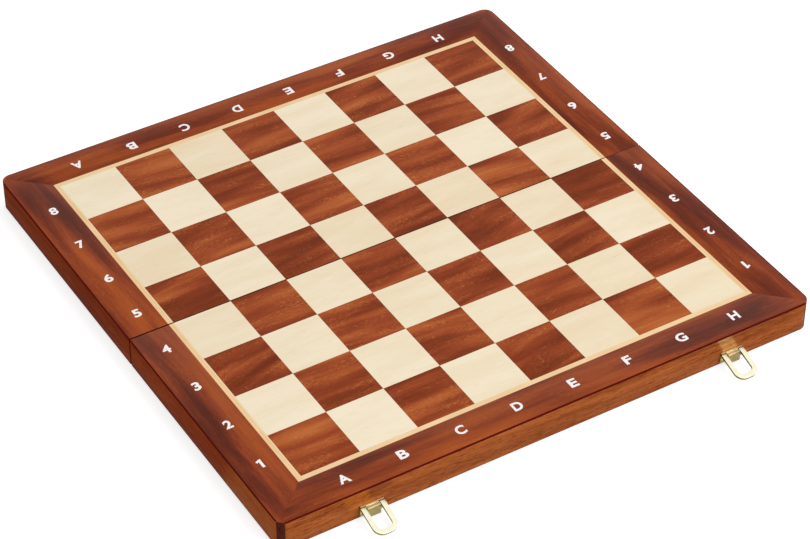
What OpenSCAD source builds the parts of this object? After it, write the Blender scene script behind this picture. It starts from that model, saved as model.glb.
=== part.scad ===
// Folding wooden chess box. Two equal half boxes are hinged along the middle of
// the playing field. It stands here as it is used: opened flat, with its hollow
// sides down. Units are millimetres.
// X runs along the ranks from file A to file H, Y runs from rank 1 to rank 8,
// and Z is up. The origin is on the rim plane, in the middle of the seam, on the
// edge of the front half.

/* [Playing field] */
// Side of one square
square = 50; // [45:1:55]
// Width of the pale line round the squares
stringing_w = 4.5; // [3:0.5:6]
// Wood that the saw took when the field was cut into two halves
saw_kerf = 2; // [0:0.5:3]
// Border outside the pale line, at the front and at the back
border_depth = 31.5; // [26:0.5:40]
// Border outside the pale line, at the left and at the right
border_width = 34; // [26:0.5:40]
// Thickness of the veneers on the playing surface
veneer_t = 0.8; // [0.6:0.1:1.2]
// Glue line round each square
glue_line = 0.05; // [0.02:0.01:0.1]

/* [Half box] */
// Height of one half, from its rim to the playing surface
half_h = 26; // [25:1:34]
// Thickness of the walls without their side veneer
core_t = 9; // [8:0.5:12]
// Thickness of the side veneers
side_veneer_t = 0.6; // [0.5:0.1:0.8]
// Radius of the outer upright corners
corner_r = 8.5; // [4:0.5:9]
// Radius of the upright corners at the seam
seam_corner_r = 1.2; // [0.5:0.1:2]
// Thickness of the plywood panel under the veneers
panel_t = 4; // [3:0.5:5]
// Width of the rebate that the panel lies in
rebate_w = 4.5; // [3:0.5:5]
// Gap between the two seam walls when the box is open
seam_gap = 0.4; // [0.3:0.1:0.6]
// Gap between the two rims when the box is shut
rim_gap = 0.3; // [0.3:0.1:0.4]

/* [Lining and racks] */
// Thickness of the felt under the panel
felt_t = 0.6; // [0.4:0.1:1.5]
// Thickness of the notched strip
strip_t = 10; // [6:0.5:12]
// Thickness of the plain divider
divider_t = 6; // [4:0.5:8]
// Room between the outer wall and the notched strip
outer_channel = 53; // [45:1:60]
// Room between the notched strip and the divider
middle_channel = 37; // [30:1:45]
// How far the strip and the divider stay inside the rim
rack_inset = 3; // [2:0.5:5]
// Depth of the grooves in the side walls that hold the rack ends
housing_depth = 2; // [1:0.5:4]
// Number of notches in the strip
notch_count = 8; // [4:1:8]
// Radius of the notches
notch_r = 8.2; // [6:0.1:9]
// Height of the notch centres above the rim plane
notch_z = 1.8; // [0:0.1:3]

/* [Hinges] */
// Distance of each hinge from the middle of the seam
hinge_x = 160; // [100:5:190]
// Length of a hinge
hinge_len = 30; // [25:1:40]
// Width of a leaf, measured from the seam
leaf_w = 8; // [7:0.1:8.5]
// Thickness of a leaf
leaf_t = 0.9; // [0.8:0.1:1.1]
// Radius of the hinge knuckles
knuckle_r = 1.4; // [1.3:0.1:1.6]
// Radius of the hinge pin
pin_r = 0.7; // [0.6:0.05:0.8]
// Number of knuckles, shared by the two leaves
knuckles = 5; // [3:2:7]
// Distance between the screws of a leaf
screw_pitch = 10; // [8:0.5:11]
// Length of a screw
screw_len = 9; // [7:0.5:12]

/* [Clasps] */
// Distance of each clasp from the middle of the front wall
clasp_x = 162; // [100:1:190]
// Height of the clasp pin above the rim plane
pivot_z = 9.2; // [9:0.1:10]
// Thickness of the sheet brass in the plate and the catch
sheet_t = 0.7; // [0.6:0.1:0.8]
// Radius of the eyes rolled round the clasp pin
eye_r = 1.2; // [1.1:0.1:1.4]
// Width of the clasp plate
plate_w = 19.8; // [19:0.1:21]
// How far the ledge on the plate's upper edge stands off the wall
ledge_reach = 1.8; // [1:0.1:2]
// Width of the bracket folded out of the plate between the arms of the bail
bracket_w = 11; // [9:0.1:11.5]
// How far the bracket stands off the wall
bracket_reach = 5.3; // [4.5:0.1:6]
// Overall width of the bail
bail_w = 20.4; // [20:0.1:22]
// Length of the bail, from its pin to its tip
bail_len = 25.3; // [24:0.1:27]
// Width of the arms and the end of the bail
bail_strip = 4; // [3:0.1:4.5]
// Depth of the bail's channel section
bail_t = 2; // [1.6:0.1:2.2]
// Radius of the bail's outer corners
bail_corner_r = 8; // [6:0.5:9]
// Angle of the resting bail below the horizontal
bail_droop = 18; // [10:1:24]
// Width of the catch's tongue
tongue_w = 6; // [4:0.5:7]

/* [Hidden] */
half_w = 4 * square + stringing_w + border_width;
half_d = 4 * square - saw_kerf / 2 + stringing_w + border_depth;
field_x = 4 * square;                              // outer edge of the squares
field_y = -half_d + border_depth + stringing_w;    // front edge of the squares
wall_t = core_t + side_veneer_t;
wall_h = half_h - veneer_t;
panel_z = wall_h - panel_t;                        // underside of the panel
felt_z = panel_z - felt_t;
inner_x = half_w - wall_t;                         // inner faces of the side walls
inner_y = -half_d + wall_t;                        // inner face of the outer wall
strip_y = inner_y + outer_channel;
divider_y = strip_y + strip_t + middle_channel;
notch_pitch = 2 * inner_x / notch_count;

hinge_y = seam_gap / 2;
hinge_z = -rim_gap / 2;
run_fit = 0.05;                                    // radial play of a turning eye
side_play = 0.2;                                   // play between two knuckles
swing_gap = 0.3;                                   // room round what turns
knuckle_len = (hinge_len - (knuckles - 1) * side_play) / knuckles;
screw_r = 0.9;
screw_head_r = 1.7;
screw_head_h = 0.8;
slot_w = 0.5;
slot_depth = 0.3;

clasp_pin_r = 0.6;
pivot_out = sheet_t + swing_gap + eye_r;           // clasp pin in front of the wall
plate_foot = 0.8;                                  // lower edge of the clasp plate
plate_corner_r = 1.5;
ledge_z = pivot_z + eye_r + swing_gap;             // underside of the ledge
bracket_foot = 1.6;                                // lower edge of the bracket's front leaf
bracket_bend_r = 1.2;
bail_sheet_t = 0.8;
bail_half_w = bail_w / 2;
bail_inner_r = bail_corner_r - bail_strip;
bail_corner_x = bail_half_w - bail_corner_r;       // centre of a corner, inner and outer
bail_corner_y = bail_len - bail_corner_r;
lip_reach = bail_corner_y + sqrt(pow(bail_inner_r, 2) - pow(tongue_w / 2 - bail_corner_x, 2)) - swing_gap;
lip_z = lip_reach - pivot_z - rim_gap;             // tip of the catch, box open
lip_out = pivot_out + eye_r - bail_t / 2 + sheet_t / 2;
lip_len = 4.4;
curl_r = lip_out / 2;
curl_z = lip_z - lip_len;
catch_w = 15;
catch_top = 20;
catch_step = curl_z + 3;                           // where the catch widens
catch_corner_r = 3;
nail_r = 0.5;
nail_head_r = 1.25;
nail_head_h = 0.4;
nail_len = 7;
plate_nails = [[-8, 4.5], [8, 4.5]];                // across and up, from the clasp's middle
catch_nails = [[-4.6, catch_top - 4], [4.6, catch_top - 4]];
overrun = 1;                                       // cutters pass this far through

mahogany = [0.46, 0.20, 0.10];
side_wood = [0.60, 0.32, 0.16];
core_wood = [0.30, 0.12, 0.07];
maple = [0.93, 0.86, 0.70];
string_wood = [0.95, 0.76, 0.55];
birch = [0.80, 0.66, 0.46];
felt_green = [0.10, 0.28, 0.16];
brass = [0.85, 0.72, 0.36];

$fn = 96;

HALVES = ["front", "rear"];
SIDES = ["left", "right"];
HALF_PIECES = [
    "outer_wall", "seam_wall", "left_wall", "right_wall",
    "outer_veneer", "left_veneer", "right_veneer", "panel",
    "outer_border", "left_border", "right_border", "stringing",
    "light_squares", "dark_squares", "felt", "notched_strip", "divider",
];
SIDE_PIECES = [
    "hinge_front_leaf", "hinge_rear_leaf", "hinge_pin",
    "clasp_plate", "clasp_bail", "clasp_pin", "clasp_catch",
];
NAIL_AND_SCREW_SETS = [
    "front_hinge_screws", "rear_hinge_screws", "clasp_plate_nails", "clasp_catch_nails",
];

// ---- Placing -------------------------------------------------------------

function half_sign(half) = half == "front" ? 1 : -1;
function side_sign(side) = side == "left" ? -1 : 1;

// The rear half is the front half turned half a turn about the seam's middle.
module in_half(half) {
    if (half == "front")
        children();
    else
        translate([0, seam_gap, 0]) rotate([0, 0, 180]) children();
}

// A shape drawn in X and Z on the outer face of the outer wall, grown outwards.
module on_outer_wall(thickness) {
    translate([0, -half_d, 0]) rotate([90, 0, 0]) linear_extrude(thickness) children();
}

// A section drawn in Y and Z, run along X about x = 0.
module along_x(length) {
    rotate([90, 0, 90]) linear_extrude(length, center = true) children();
}

module x_rod(r, length) {
    rotate([0, 90, 0]) cylinder(r = r, h = length, center = true);
}

// ---- Plan of one half ----------------------------------------------------

// Outline with wide corners at the outer wall and small ones at the seam.
module plan() {
    hull() for (side = [-1, 1]) {
        translate([side * (half_w - corner_r), -half_d + corner_r]) circle(r = corner_r);
        translate([side * (half_w - seam_corner_r), -seam_corner_r]) circle(r = seam_corner_r);
    }
}

// What is left of the plan inside the side veneers.
module core_plan() {
    intersection() {
        plan();
        translate([-half_w + side_veneer_t, -half_d + side_veneer_t])
            square([2 * (half_w - side_veneer_t), half_d - side_veneer_t]);
    }
}

// ---- Walls ---------------------------------------------------------------

module panel_block() {
    translate([-inner_x - rebate_w, inner_y - rebate_w, panel_z])
        cube([
            2 * (inner_x + rebate_w),
            half_d - wall_t - core_t + 2 * rebate_w,
            panel_t,
        ]);
}

module rack_blank(y, thickness) {
    translate([-inner_x - housing_depth, y, rack_inset])
        cube([2 * (inner_x + housing_depth), thickness, panel_z - rack_inset]);
}

module outer_wall() {
    color(core_wood) difference() {
        linear_extrude(wall_h) intersection() {
            core_plan();
            polygon([
                [-half_w, -half_d], [half_w, -half_d],
                [inner_x, inner_y], [-inner_x, inner_y],
            ]);
        }
        panel_block();
        children();
    }
}

module side_wall(side) {
    color(core_wood) difference() {
        linear_extrude(wall_h) intersection() {
            core_plan();
            polygon([
                [side * half_w, -half_d], [side * inner_x, inner_y],
                [side * inner_x, -core_t], [side * (half_w - side_veneer_t), 0],
            ]);
        }
        panel_block();
        rack_blank(strip_y, strip_t);
        rack_blank(divider_y, divider_t);
    }
}

// Room for both leaves' knuckles and this half's leaf, in the seam wall's rim.
module hinge_pocket() {
    translate([-hinge_len / 2, -leaf_w, -overrun]) cube([hinge_len, leaf_w + overrun, leaf_t + overrun]);
    translate([0, hinge_y, hinge_z]) x_rod(knuckle_r + swing_gap, hinge_len + 2 * swing_gap);
}

module seam_wall() {
    color(core_wood) difference() {
        linear_extrude(wall_h) polygon([
            [-half_w + side_veneer_t, 0], [half_w - side_veneer_t, 0],
            [inner_x, -core_t], [-inner_x, -core_t],
        ]);
        panel_block();
        for (side = [-1, 1]) translate([side * hinge_x, 0, 0]) {
            hinge_pocket();
            leaf_screws();
        }
    }
}

module outer_veneer() {
    color(side_wood) difference() {
        linear_extrude(wall_h) intersection() {
            plan();
            translate([-half_w, -half_d]) square([2 * half_w, side_veneer_t]);
        }
        children();
    }
}

module side_veneer(side) {
    color(side_wood) linear_extrude(wall_h) intersection() {
        plan();
        translate([side > 0 ? half_w - side_veneer_t : -half_w, -half_d]) square([side_veneer_t, half_d]);
    }
}

module panel() {
    color(birch) panel_block();
}

// ---- Playing surface -----------------------------------------------------

module surface_layer() {
    translate([0, 0, wall_h]) linear_extrude(veneer_t) children();
}

module outer_border() {
    color(mahogany) surface_layer() intersection() {
        plan();
        polygon([
            [-half_w, -half_d], [half_w, -half_d],
            [half_w - border_width, -half_d + border_depth],
            [-half_w + border_width, -half_d + border_depth],
        ]);
    }
}

module side_border(side) {
    color(mahogany) surface_layer() intersection() {
        plan();
        polygon([
            [side * half_w, -half_d],
            [side * (half_w - border_width), -half_d + border_depth],
            [side * (half_w - border_width), 0], [side * half_w, 0],
        ]);
    }
}

module stringing() {
    color(string_wood) surface_layer() difference() {
        translate([-field_x - stringing_w, field_y - stringing_w])
            square([2 * (field_x + stringing_w), -field_y + stringing_w]);
        translate([-field_x, field_y]) square([2 * field_x, -field_y + overrun]);
    }
}

// The squares of one colour: parity 0 has the dark corner square.
module squares(parity) {
    surface_layer() for (file = [0:7], rank = [0:3]) if ((file + rank) % 2 == parity) {
        depth = rank < 3 ? square : square - saw_kerf / 2;
        translate([-field_x + file * square + glue_line / 2, field_y + rank * square + glue_line / 2])
            square([square - glue_line, depth - glue_line]);
    }
}

// ---- Lining and racks ----------------------------------------------------

module felt_piece(y, depth) {
    translate([-inner_x, y, felt_z]) cube([2 * inner_x, depth, felt_t]);
}

module felt() {
    color(felt_green) {
        felt_piece(inner_y, outer_channel);
        felt_piece(strip_y + strip_t, middle_channel);
        felt_piece(divider_y + divider_t, -core_t - divider_y - divider_t);
    }
}

module notched_strip() {
    color(maple) difference() {
        rack_blank(strip_y, strip_t);
        for (i = [0:notch_count - 1])
            translate([(i + 0.5) * notch_pitch - inner_x, strip_y + strip_t / 2, notch_z])
                rotate([90, 0, 0]) cylinder(r = notch_r, h = strip_t + 2 * overrun, center = true);
    }
}

module divider() {
    color(maple) rack_blank(divider_y, divider_t);
}

// ---- Hinges --------------------------------------------------------------

// Countersunk screw whose head is flush with z = 0 and whose point is up.
module screw_shape() {
    rotate_extrude() polygon([
        [0, 0], [screw_head_r, 0], [screw_r, screw_head_h],
        [screw_r, screw_len - 1.5 * screw_r], [0, screw_len],
    ]);
}

module leaf_screws() {
    for (i = [-1:1]) translate([i * screw_pitch, -(leaf_w + knuckle_r) / 2, 0]) screw_shape();
}

module slotted_screws() {
    color(brass) for (side = [-1, 1], i = [-1:1])
        translate([side * hinge_x + i * screw_pitch, -(leaf_w + knuckle_r) / 2, 0]) difference() {
            screw_shape();
            rotate([0, 0, 35 + 50 * i])
                translate([0, 0, slot_depth / 2 - overrun / 2])
                cube([2 * screw_head_r + overrun, slot_w, slot_depth + overrun], center = true);
        }
}

// Leaf in the front half's rim. It has every second knuckle, from number first.
module leaf(first, bore_r) {
    knuckle_step = knuckle_len + side_play;
    color(brass) difference() {
        union() {
            translate([-hinge_len / 2, -leaf_w, 0])
                cube([hinge_len, leaf_w + hinge_y - knuckle_r - swing_gap, leaf_t]);
            for (k = [first:2:knuckles - 1])
                translate([(k + 0.5) * knuckle_step - (hinge_len + side_play) / 2, 0, 0]) {
                    translate([0, hinge_y, hinge_z]) x_rod(knuckle_r, knuckle_len);
                    translate([-knuckle_len / 2, -knuckle_r - 2 * swing_gap, 0])
                        cube([knuckle_len, knuckle_r + 2 * swing_gap + hinge_y, leaf_t]);
                }
        }
        translate([0, hinge_y, hinge_z]) x_rod(bore_r, hinge_len + overrun);
        leaf_screws();
    }
}

module hinge_pin() {
    color(brass) translate([0, hinge_y, hinge_z]) x_rod(pin_r, hinge_len);
}

// ---- Clasps --------------------------------------------------------------

// Domed brass nail with its shank going into the wall, head on a sheet part.
module nail_shape() {
    rotate([-90, 0, 0]) rotate_extrude() union() {
        translate([0, -sheet_t]) square([nail_r, nail_len + sheet_t - nail_r]);
        polygon([[0, nail_len - nail_r], [nail_r, nail_len - nail_r], [0, nail_len]]);
        intersection() {
            translate([0, -sheet_t - nail_head_h + dome_r()]) circle(r = dome_r());
            translate([0, -sheet_t - nail_head_h]) square([nail_head_r, nail_head_h]);
        }
    }
}

// Radius of the sphere through the rim and the top of a nail head.
function dome_r() = (pow(nail_head_r, 2) + pow(nail_head_h, 2)) / (2 * nail_head_h);

module nails(places) {
    for (side = [-1, 1], at = places)
        translate([side * clasp_x + at[0], -half_d, at[1]]) nail_shape();
}

// Plate with two round lower corners, up to the bend of the ledge.
module clasp_plate_outline() {
    hull() {
        for (side = [-1, 1])
            translate([side * (plate_w / 2 - plate_corner_r), plate_foot + plate_corner_r])
                circle(r = plate_corner_r);
        translate([-plate_w / 2, ledge_z - sheet_t]) square([plate_w, sheet_t]);
    }
}

// Section of the plate's upper edge, bent forward over the eyes.
module ledge_section() {
    intersection() {
        translate([-sheet_t, ledge_z]) circle(r = sheet_t);
        translate([-sheet_t, ledge_z]) square(sheet_t);
    }
    translate([-ledge_reach, ledge_z]) square([ledge_reach - sheet_t, sheet_t]);
}

// What the bracket encloses, from the wall to its front leaf, less an inset.
module bracket_inside(inset) {
    bend_r = bracket_bend_r - inset;
    top = pivot_z + eye_r - inset;
    reach = bracket_reach - inset;
    hull() {
        translate([bend_r - reach, top - bend_r]) circle(r = bend_r);
        translate([-reach, bracket_foot]) square([reach, bend_r]);
        translate([-bend_r, top - bend_r]) square(bend_r);
    }
}

// Section of the bracket: over the pin, then down in front, with the eye rolled
// under its top.
module bracket_section() {
    difference() {
        bracket_inside(0);
        bracket_inside(sheet_t);
        translate([-bracket_reach + sheet_t, bracket_foot - overrun])
            square([bracket_reach, 2 * overrun]);
    }
    translate([-pivot_out, pivot_z]) circle(r = eye_r);
}

module clasp_plate() {
    color(brass) difference() {
        union() {
            on_outer_wall(sheet_t) clasp_plate_outline();
            translate([0, -half_d, 0]) {
                along_x(plate_w) ledge_section();
                along_x(bracket_w) bracket_section();
            }
        }
        translate([0, -half_d - pivot_out, pivot_z]) x_rod(clasp_pin_r, bracket_w + overrun);
        translate([-clasp_x, 0, 0]) nails(plate_nails);
    }
}

module clasp_pin() {
    color(brass) translate([0, -half_d - pivot_out, pivot_z]) x_rod(clasp_pin_r, bail_w);
}

// Area from the pin to the round corners at the tip, corner_r beyond their centres.
module bail_area(corner_r) {
    half_width = bail_corner_x + corner_r;
    hull() {
        for (side = [-1, 1]) translate([side * bail_corner_x, bail_corner_y]) circle(r = corner_r);
        translate([-half_width, 0]) square([2 * half_width, bail_corner_y]);
    }
}

// Flat U with the pin at its origin, open towards the pin.
module bail_outline() {
    difference() {
        bail_area(bail_corner_r);
        bail_area(bail_inner_r);
    }
}

// The bail is pressed from sheet, with its edges turned down.
module bail() {
    color(brass)
    translate([0, -half_d - pivot_out, pivot_z]) rotate([bail_droop, 0, 0]) difference() {
        union() {
            mirror([0, 1, 0]) translate([0, 0, eye_r - bail_t]) difference() {
                linear_extrude(bail_t) bail_outline();
                translate([0, 0, -overrun]) linear_extrude(bail_t - bail_sheet_t + overrun)
                    offset(delta = -bail_sheet_t) bail_outline();
            }
            for (side = [-1, 1])
                translate([side * (bail_w - bail_strip) / 2, 0, 0]) x_rod(eye_r, bail_strip);
        }
        x_rod(clasp_pin_r + run_fit, bail_w + overrun);
    }
}

module catch_outline() {
    translate([-tongue_w / 2, curl_z]) square([tongue_w, catch_step - curl_z + overrun]);
    hull() {
        translate([-catch_w / 2, catch_step]) square([catch_w, overrun]);
        for (side = [-1, 1])
            translate([side * (catch_w / 2 - catch_corner_r), catch_top - catch_corner_r])
                circle(r = catch_corner_r);
    }
}

// Section of the tongue: it curls out of the plate and ends in an upright lip.
module tongue_section() {
    difference() {
        translate([-curl_r, curl_z]) circle(r = curl_r);
        translate([-curl_r, curl_z]) circle(r = curl_r - sheet_t);
        translate([-2 * curl_r - overrun, curl_z]) square([2 * curl_r + 2 * overrun, curl_r + overrun]);
    }
    translate([-lip_out, curl_z]) square([sheet_t, lip_z - curl_z]);
}

module clasp_catch() {
    color(brass) difference() {
        union() {
            on_outer_wall(sheet_t) catch_outline();
            translate([0, -half_d, 0]) along_x(tongue_w) tongue_section();
        }
        translate([-clasp_x, 0, 0]) nails(catch_nails);
    }
}

// ---- Assembly ------------------------------------------------------------

for (half = HALVES) in_half(half) {
    left = -half_sign(half);
    right = half_sign(half);
    clasp_nail_places = half == "front" ? plate_nails : catch_nails;
    outer_wall() nails(clasp_nail_places);
    seam_wall();
    side_wall(left);
    side_wall(right);
    outer_veneer() nails(clasp_nail_places);
    side_veneer(left);
    side_veneer(right);
    panel();
    outer_border();
    side_border(left);
    side_border(right);
    stringing();
    color(maple) squares(1);
    color(mahogany) squares(0);
    felt();
    notched_strip();
    divider();
    slotted_screws();
}

for (side = SIDES) translate([side_sign(side) * hinge_x, 0, 0]) {
    leaf(0, pin_r);
    in_half("rear") leaf(1, pin_r + run_fit);
    hinge_pin();
}

for (side = SIDES) translate([side_sign(side) * clasp_x, 0, 0]) {
    clasp_plate();
    bail();
    clasp_pin();
    in_half("rear") clasp_catch();
}

color(brass) nails(plate_nails);  // clasp_plate_nails
in_half("rear") color(brass) nails(catch_nails);  // clasp_catch_nails
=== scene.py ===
"""Looks of the folding chess box: veneers, lacquer, felt, brass and printed coordinates.

The CAD frame is loaded as it is and keeps its sizes. All lengths are in metres, in the frame of
the CAD part: X runs along the ranks, Y across the seam and Z up. The box lies open with its hollow
sides down.
"""
import math
import random

import bmesh
import bpy
from mathutils import Matrix, Vector


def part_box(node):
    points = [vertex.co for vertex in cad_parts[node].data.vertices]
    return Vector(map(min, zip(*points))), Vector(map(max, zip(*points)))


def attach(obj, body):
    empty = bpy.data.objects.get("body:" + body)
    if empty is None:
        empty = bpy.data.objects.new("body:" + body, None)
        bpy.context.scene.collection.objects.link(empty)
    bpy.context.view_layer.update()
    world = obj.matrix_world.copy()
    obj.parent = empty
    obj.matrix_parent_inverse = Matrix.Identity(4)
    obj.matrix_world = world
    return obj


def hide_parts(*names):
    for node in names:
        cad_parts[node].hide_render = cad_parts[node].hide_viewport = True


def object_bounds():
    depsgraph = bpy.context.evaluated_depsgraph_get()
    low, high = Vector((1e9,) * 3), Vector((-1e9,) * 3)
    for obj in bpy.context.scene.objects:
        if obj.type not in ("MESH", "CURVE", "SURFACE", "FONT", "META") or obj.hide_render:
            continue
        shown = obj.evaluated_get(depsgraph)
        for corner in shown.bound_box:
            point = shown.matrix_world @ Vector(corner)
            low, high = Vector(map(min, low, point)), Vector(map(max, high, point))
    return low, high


MM = 0.001
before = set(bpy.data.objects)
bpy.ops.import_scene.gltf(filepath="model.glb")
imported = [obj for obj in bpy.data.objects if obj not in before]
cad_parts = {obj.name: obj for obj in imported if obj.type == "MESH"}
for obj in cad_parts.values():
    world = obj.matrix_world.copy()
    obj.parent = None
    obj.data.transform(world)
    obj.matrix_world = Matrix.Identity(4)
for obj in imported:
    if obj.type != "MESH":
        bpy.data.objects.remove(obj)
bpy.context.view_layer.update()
random.seed(7)

# ---- Sizes, read from the frame --------------------------------------------

HALVES = ("front", "rear")
surface_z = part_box("front_dark_squares")[1].z
wall_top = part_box("front_outer_veneer")[1].z
field_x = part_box("front_dark_squares")[1].x
field_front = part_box("front_dark_squares")[0].y
seam_y = (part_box("front_seam_wall")[1].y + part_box("rear_seam_wall")[0].y) / 2
half_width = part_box("front_right_veneer")[1].x
front_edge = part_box("front_outer_veneer")[0].y
corner_radius = half_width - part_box("front_outer_veneer")[1].x
square = field_x / 4
field_reach = seam_y - field_front
half_reach = seam_y - front_edge


# ---- Camera ------------------------------------------------------------------

CAMERA_AZIMUTH = math.radians(-31.303)
CAMERA_ELEVATION = math.radians(39.893)
CAMERA_ROLL = math.radians(0.079)
CAMERA_DISTANCE = 2.2324
CAMERA_TARGET = Vector((-0.01346, -0.03784, surface_z))
FOCAL_LENGTH_MM = 125.3
SENSOR_MM = 36


def make_camera():
    data = bpy.data.cameras.new("photo_camera")
    data.lens = FOCAL_LENGTH_MM
    data.sensor_width = SENSOR_MM
    data.clip_start = 0.05
    data.clip_end = 50
    camera = bpy.data.objects.new("photo_camera", data)
    bpy.context.scene.collection.objects.link(camera)
    flat = math.cos(CAMERA_ELEVATION)
    back = Vector((
        math.sin(CAMERA_AZIMUTH) * flat,
        -math.cos(CAMERA_AZIMUTH) * flat,
        math.sin(CAMERA_ELEVATION),
    ))
    level = Vector((0, 0, 1)).cross(back).normalized()
    upright = back.cross(level)
    right = level * math.cos(CAMERA_ROLL) + upright * math.sin(CAMERA_ROLL)
    up = back.cross(right)
    turn = Matrix((right, up, back)).transposed().to_4x4()
    camera.matrix_world = Matrix.Translation(CAMERA_TARGET + back * CAMERA_DISTANCE) @ turn
    bpy.context.scene.camera = camera


make_camera()


# ---- Shader helpers ----------------------------------------------------------


class Material:
    """A node material. Its methods add one node each and return that node's output socket."""

    def __init__(self, name):
        self.data = bpy.data.materials.new(name)
        self.data.use_nodes = True
        self.tree = self.data.node_tree
        self.tree.nodes.clear()
        self.shader = self.tree.nodes.new("ShaderNodeBsdfPrincipled")
        output = self.tree.nodes.new("ShaderNodeOutputMaterial")
        self.tree.links.new(self.shader.outputs["BSDF"], output.inputs["Surface"])

    def node(self, kind, inputs=None, **settings):
        made = self.tree.nodes.new("ShaderNode" + kind)
        for key, value in settings.items():
            setattr(made, key, value)
        for key, value in (inputs or {}).items():
            self.put(made.inputs[key], value)
        return made

    def put(self, socket, value):
        if isinstance(value, bpy.types.NodeSocket):
            self.tree.links.new(value, socket)
        else:
            socket.default_value = value

    def set(self, **values):
        for key, value in values.items():
            self.put(self.shader.inputs[key.replace("_", " ")], value)

    def position(self):
        return self.node("TexCoord").outputs["Object"]

    def normal(self):
        return self.node("TexCoord").outputs["Normal"]

    def split(self, vector):
        return self.node("SeparateXYZ", {0: vector}).outputs

    def join(self, x, y, z):
        return self.node("CombineXYZ", {0: x, 1: y, 2: z}).outputs[0]

    def math(self, operation, a, b=0.0, c=0.0):
        return self.node("Math", {0: a, 1: b, 2: c}, operation=operation).outputs[0]

    def vector(self, operation, a, b):
        return self.node("VectorMath", {0: a, 1: b}, operation=operation).outputs[0]

    def length(self, vector):
        return self.node("VectorMath", {0: vector}, operation="LENGTH").outputs["Value"]

    def dot(self, a, b):
        return self.node("VectorMath", {0: a, 1: b}, operation="DOT_PRODUCT").outputs["Value"]

    def noise(self, vector, scale=1.0, detail=2.0, roughness=0.5, distortion=0.0):
        inputs = {
            "Vector": vector,
            "Scale": scale,
            "Detail": detail,
            "Roughness": roughness,
            "Distortion": distortion,
        }
        return self.node("TexNoise", inputs).outputs["Fac"]

    def hash(self, vector):
        return self.node("TexWhiteNoise", {"Vector": vector}).outputs

    def step(self, value, low, high, to_low=0.0, to_high=1.0):
        """A smooth step of value from low to high, mapped from to_low to to_high."""
        inputs = {0: value, 1: low, 2: high, 3: to_low, 4: to_high}
        return self.node("MapRange", inputs, interpolation_type="SMOOTHSTEP").outputs[0]

    def ramp(self, value, *stops):
        """A colour ramp through (position, (r, g, b)) stops."""
        made = self.node("ValToRGB", {0: value})
        points = made.color_ramp.elements
        while len(points) < len(stops):
            points.new(0.5)
        for point, (place, colour) in zip(points, stops):
            point.position = place
            point.color = (*colour, 1)
        return made.outputs["Color"]

    def mix(self, amount, a, b, blend="MIX"):
        """Colours a and b, each a socket or (r, g, b), blended by the amount."""
        made = self.node("Mix", data_type="RGBA", blend_type=blend)
        self.put(made.inputs[0], amount)
        for place, colour in ((6, a), (7, b)):
            is_socket = isinstance(colour, bpy.types.NodeSocket)
            self.put(made.inputs[place], colour if is_socket else (*colour, 1))
        return made.outputs[2]

    def bump(self, height, distance, strength=1.0):
        inputs = {"Height": height, "Distance": distance, "Strength": strength}
        self.set(Normal=self.node("Bump", inputs).outputs["Normal"])


def linear(value):
    """Linear value of an 8-bit display value."""
    share = value / 255
    return ((share + 0.055) / 1.055) ** 2.4 if value > 10 else share / 12.92


def srgb(r, g, b):
    """Linear colour of an 8-bit display colour."""
    return linear(r), linear(g), linear(b)


def darker(colour, share):
    return tuple(c * share for c in colour)


GLOSS_VEIL = 0.008      # what the lacquer's own reflection adds to every wood colour
DARKEST = 0.002


def lacquered(r, g, b):
    """Base colour that looks like this display colour once the lacquer reflects the room."""
    return tuple(max(c - GLOSS_VEIL, DARKEST) for c in srgb(r, g, b))


# ---- Wood --------------------------------------------------------------------

AXES = {"X": (0, 1, 2), "Y": (1, 0, 2)}     # the axes along, across and through the grain
SEED_SHIFT = (0.37, 0.61, 0.23)             # how far apart two pieces lie in the pattern
LACQUER_GLOSS, LACQUER_ROUGHNESS = 0.08, 0.36
SIDE_GLOSS, SIDE_ROUGHNESS = {"X": 0.03, "Y": 0.005}, 0.45
INSIDE_GLOSS = 0.03


def grain_space(m, grain, seed, per_square=False):
    """Position as (along, across, through the grain), moved on for each piece, and a random tint."""
    axes = m.split(m.position())
    place = m.join(*(axes[i] for i in AXES[grain]))
    place = m.vector("ADD", place, tuple(seed * shift for shift in SEED_SHIFT))
    if not per_square:
        return place, 0.5
    from_seam = m.math("ABSOLUTE", m.math("SUBTRACT", axes[1], seam_y))
    file = m.math("FLOOR", m.math("DIVIDE", axes[0], square))
    rank = m.math("FLOOR", m.math("DIVIDE", m.math("SUBTRACT", field_reach, from_seam), square))
    picked = m.hash(m.join(file, rank, seed))
    return m.vector("ADD", place, picked["Color"]), picked["Value"]


def stretched(m, place, along, across):
    """Noise coordinates with the given feature sizes in metres along and across the grain."""
    return m.vector("MULTIPLY", place, (1 / along, 1 / across, 1 / across))


def figure(m, place, along, across, detail=1, roughness=0.5):
    """Noise with the given feature sizes in metres along and across the grain."""
    return m.noise(stretched(m, place, along, across), detail=detail, roughness=roughness)


def bent(m, place, length, amount, slant=0.0):
    """Grain that wanders across itself by the given amount over the given length, on a slant."""
    wander = figure(m, place, length, length / 3)
    along = m.split(place)[0]
    across = m.math("MULTIPLY_ADD", wander, amount, m.math("MULTIPLY", along, slant))
    return m.vector("ADD", place, m.join(0, across, across))


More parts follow.
